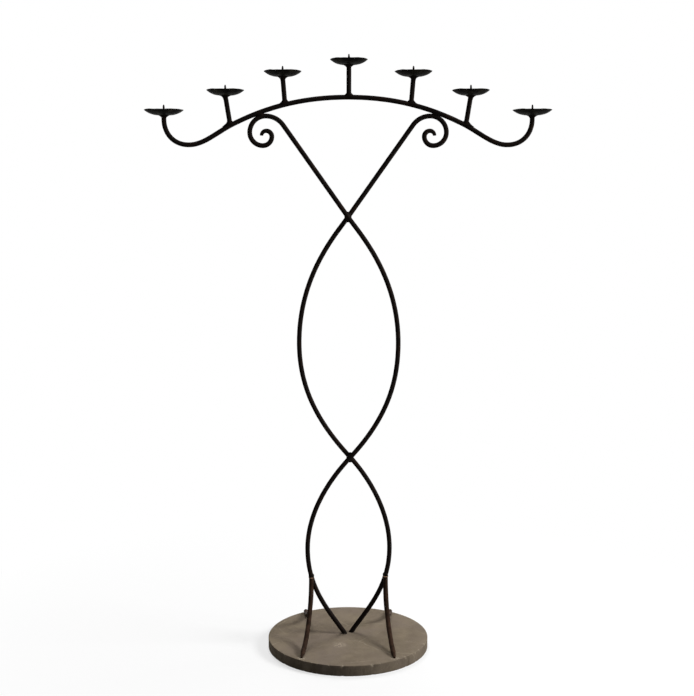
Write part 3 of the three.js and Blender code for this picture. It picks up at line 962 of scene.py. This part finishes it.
class BuildSlab(bpy.types.Operator):
    """Saws the round stone slab, with chipped edges and scuffs"""

    bl_idname = "torchere.slab"
    bl_label = "Slab"

    # How many chip depths wide the band of close rings by the edge is, how many rings it has,
    # how many go round an arris and up the side, and how much sparser the underside's are
    EDGE_BAND = 2
    EDGE_RINGS = 6
    ARRIS_RINGS = 3
    SIDE_RINGS = 12
    SPARSER = 4

    # Scuffed spots on the top: one in front of the rods, and one where each front toe rubs
    SCUFF = {"place": Vector((-0.021, -0.070)), "size": 0.020}
    TOE_SCUFF_SIZE = 0.013

    # Chips: how many times their depth they reach in from the edge, how strong and how many
    # times smaller the fine ones are and where their own pattern lies, how much of the edge
    # stays sound, how steep and how tall a chip is, how far round to the back the edge was
    # knocked, and the share of that at the lower edge
    CHIP_REACH = 2.2
    FINE_CHIP = {"strength": 0.55, "smaller": 2.7, "pattern": Vector((0, 0, 3))}
    SOUND_EDGE = 0.22
    CHIP_SLOPE = 1.5
    CHIP_HEIGHT = 0.8
    KNOCKED_SIDE = 0.35
    LOWER_EDGE = 0.3

    # Width of a wave of the sawn face, and how fast stone turns fresh in chips and in scuffs
    WAVE_SIZE = 0.035
    FRESH_CHIP = 2.5
    FRESH_SCUFF = 1.6

    def execute(self, context):
        slab = context.scene.torchere.slab
        low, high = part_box("base_slab")
        radius, top = (high.x - low.x) / 2, high.z
        bm = turned_mesh(self.profile(radius, top, slab), slab.sides)
        fresh = self.weather(bm, radius, top, slab)
        add_piece("stone_slab", bm, "Sawn sandstone", "stone", "base_slab", fresh=fresh)
        return {"FINISHED"}

    def profile(self, radius, top, slab):
        """Radius and height of each ring, from the middle of the underside to that of the top."""
        band = slab.chip_depth * self.EDGE_BAND
        across = [(radius - band) * s for s in shares(round(radius / slab.ring_spacing))[1:]]
        near = [band * s for s in shares(self.EDGE_RINGS)[:-1]]
        turns = [math.pi / 2 * s for s in shares(self.ARRIS_RINGS)]
        corner = [(slab.arris * (1 - math.sin(a)), slab.arris * (1 - math.cos(a))) for a in turns]
        heights = [slab.arris + (top - 2 * slab.arris) * s for s in shares(self.SIDE_RINGS)[1:-1]]
        lower = [(0, 0), *((r, 0) for r in across[:: self.SPARSER])]
        lower += [(radius - inset, lift) for inset, lift in corner]
        upper = [(radius - inset, top - lift) for inset, lift in reversed(corner)]
        upper += [(radius - inset, top) for inset in near if inset > slab.arris]
        upper += [(r, top) for r in reversed(across)]
        return [*lower, *((radius, z) for z in heights), *upper, (0, top)]

    def weather(self, bm, radius, top, slab):
        """Chips the edges and makes the faces uneven. Returns how fresh each corner's stone is."""
        scuffs = [(self.SCUFF["place"], self.SCUFF["size"])]
        scuffs += [(toe_place(side, DEPTHS["front"]), self.TOE_SCUFF_SIZE) for side in SIDES.values()]
        fresh = []
        for corner in bm.verts:
            place = corner.co.copy()
            flat = place.to_2d()
            outward = flat.to_3d().normalized()
            upper = place.z > top / 2
            inset = math.hypot(radius - flat.length, min(top - place.z, place.z))
            near = max(0, 1 - inset / (slab.chip_depth * self.CHIP_REACH))
            spot = outward * radius / slab.chip_size
            fine = noise.noise(spot * self.FINE_CHIP["smaller"] + self.FINE_CHIP["pattern"])
            chip = max(0, noise.noise(spot) + fine * self.FINE_CHIP["strength"] - self.SOUND_EDGE)
            knocked = min(1, max(0, self.KNOCKED_SIDE - outward.y)) * (1 if upper else self.LOWER_EDGE)
            depth = slab.chip_depth * min(1, chip * self.CHIP_SLOPE) * near * knocked
            corner.co -= outward * depth + UP * depth * self.CHIP_HEIGHT * (1 if upper else -1)
            if upper and near == 0:
                corner.co.z -= abs(uneven(place, self.WAVE_SIZE, slab.sawn_wave))
            scuff = max(max(0, 1 - (flat - middle).length / size) for middle, size in scuffs) if upper else 0
            fresh.append(min(1, max(depth / slab.chip_depth * self.FRESH_CHIP, scuff * self.FRESH_SCUFF)))
        return fresh


class FinishPins(bpy.types.Operator):
    """Gives the pins under the rods and legs their bare steel"""

    bl_idname = "torchere.pins"
    bl_label = "Pins"

    def execute(self, context):
        steel = shared_finish("Drawn steel")
        for pin in [*(f"rod_pin_{side}" for side in SIDES), *(f"leg_pin_{leg}" for leg in LEGS)]:
            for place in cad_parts[pin].material_slots:
                place.material = steel
        return {"FINISHED"}


class SetStage(bpy.types.Operator):
    """Sets the floor, the surrounding light, the lamps and the camera"""

    bl_idname = "torchere.stage"
    bl_label = "Stage"

    # The camera, as the picture's own perspective gives it
    IMAGE_WIDTH = 694
    FOCAL_PIXELS = 1171
    SENSOR_WIDTH = 36.0
    CAMERA_PLACE = (-0.00255, -2.873, 1.1368)
    CAMERA_TILT = math.radians(7.39)
    FLOOR_RADIUS = 9.0

    # Which way each lamp lies, seen from the slab, and its width and height
    KEY = {"side": (1.3, -0.26, 1.0), "size": (2.0, 2.0)}
    BACK = {"side": (-0.1, 0.7, 1.1), "size": (2.0, 2.0)}
    RIM = {"side": (1.0, 0.55, 0.32), "size": (0.8, 4.4)}
    LAMP_DISTANCE = 6.0

    # How far from the slab's middle the floor begins and ends to fade to white
    FADE = (0.3, 1.2)

    def execute(self, context):
        stand = context.scene.torchere
        self.floor(stand)
        self.surroundings(context, stand)
        self.lamp("Key lamp", stand.stage.key, **self.KEY)
        self.lamp("Rim lamp", stand.stage.rim, **self.RIM)
        # The back lamp only fills in, so it leaves no glare along the bars
        self.lamp("Back lamp", stand.stage.back, **self.BACK).visible_glossy = False
        self.camera(context)
        context.scene.view_settings.view_transform = "Standard"
        return {"FINISHED"}

    def seen(self, tree):
        """1 for a ray that comes from the camera, straight, by a gloss or through glass."""
        rays = add_node(tree, "LightPath").node.outputs
        seen = rays["Is Camera Ray"]
        for kind in ("Is Glossy Ray", "Is Transmission Ray"):
            seen = add_node(tree, "Math", {0: seen, 1: rays[kind]}, operation="MAXIMUM")
        return seen

    def floor(self, stand):
        """A plain pale floor that keeps the stand's shadow and fades to white around it."""
        bm = bmesh.new()
        bmesh.ops.create_circle(bm, cap_ends=True, segments=96, radius=self.FLOOR_RADIUS)
        material = bpy.data.materials.new("Painted floor")
        material.use_nodes = True
        tree = material.node_tree
        tree.nodes.remove(tree.nodes["Principled BSDF"])
        seen = self.seen(tree)
        bounce, paint = stand.colours.floor_bounce, stand.colours.floor
        tone = add_node(tree, "Mix", {0: seen, 6: bounce, 7: paint}, 2, data_type="RGBA")
        matte = add_node(tree, "BsdfDiffuse", {"Color": tone})
        white = add_node(tree, "Emission", {"Color": (1, 1, 1, 1), "Strength": 1.0})
        places = add_node(tree, "TexCoord", output="Object")
        far = add_node(tree, "VectorMath", {0: places}, "Value", operation="LENGTH")
        near, gone = self.FADE
        levels = {"Value": far, "From Min": near, "From Max": gone, "To Min": stand.stage.glow, "To Max": 1.0}
        fade = add_node(tree, "MapRange", levels)
        share = add_node(tree, "Math", {0: seen, 1: fade}, operation="MULTIPLY")
        surface = add_node(tree, "MixShader", {0: share, 1: matte, 2: white})
        tree.links.new(surface, tree.nodes["Material Output"].inputs["Surface"])
        floor = add_object("pale_floor", finished("pale_floor", bm, material))

    def surroundings(self, context, stand):
        """Soft light from all round, white where the camera looks."""
        world = bpy.data.worlds.new("White room")
        world.use_nodes = True
        tree = world.node_tree
        levels = {"Value": self.seen(tree), "To Min": stand.stage.sky, "To Max": 1.0}
        strength = add_node(tree, "MapRange", levels)
        background = tree.nodes["Background"]
        background.inputs["Color"].default_value = (1, 1, 1, 1)
        tree.links.new(strength, background.inputs["Strength"])
        context.scene.world = world

    def lamp(self, name, watts, side, size):
        """A large soft lamp, aimed at the stand."""
        light = bpy.data.lights.new(name, "AREA")
        light.energy = watts
        light.shape = "RECTANGLE"
        light.size, light.size_y = size
        lamp = add_object(name, light)
        lamp.location = Vector(side).normalized() * self.LAMP_DISTANCE
        lamp.rotation_euler = (-lamp.location).to_track_quat("-Z", "Y").to_euler()
        return lamp

    def camera(self, context):
        """The camera at the height and tilt of the picture."""
        lens = bpy.data.cameras.new("Camera")
        lens.sensor_fit = "HORIZONTAL"
        lens.sensor_width = self.SENSOR_WIDTH
        lens.lens = self.FOCAL_PIXELS / self.IMAGE_WIDTH * self.SENSOR_WIDTH
        camera = add_object("Camera", lens)
        camera.location = self.CAMERA_PLACE
        camera.rotation_euler = (math.pi / 2 - self.CAMERA_TILT, 0, 0)
        context.scene.camera = camera


# ---- panel


OPERATORS = (
    BuildRods,
    BuildArch,
    BuildStems,
    BuildPans,
    BuildCups,
    BuildSpikes,
    BuildLegs,
    BuildWelds,
    BuildSlab,
    FinishPins,
    SetStage,
)


class TorcherePanel(bpy.types.Panel):
    """Lists the pieces of the stand"""

    bl_idname = "VIEW3D_PT_torchere"
    bl_label = "Torchere"
    bl_space_type = "VIEW_3D"
    bl_region_type = "UI"
    bl_category = "Torchere"

    def draw(self, context):
        for operator in OPERATORS:
            self.layout.operator(operator.bl_idname)


CLASSES = (
    BarSettings,
    PanSettings,
    WeldSettings,
    SlabSettings,
    ColourSettings,
    StageSettings,
    TorchereSettings,
    *OPERATORS,
    TorcherePanel,
)


def register():
    """Adds the classes and the stand's settings to Blender."""
    for each in CLASSES:
        bpy.utils.register_class(each)
    bpy.types.Scene.torchere = PointerProperty(type=TorchereSettings)


def unregister():
    """Takes the settings and the classes out again."""
    del bpy.types.Scene.torchere
    for each in reversed(CLASSES):
        bpy.utils.unregister_class(each)


def main():
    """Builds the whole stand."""
    register()
    for operator in OPERATORS:
        group, name = operator.bl_idname.split(".")
        getattr(getattr(bpy.ops, group), name)()


if __name__ == "__main__":
    main()
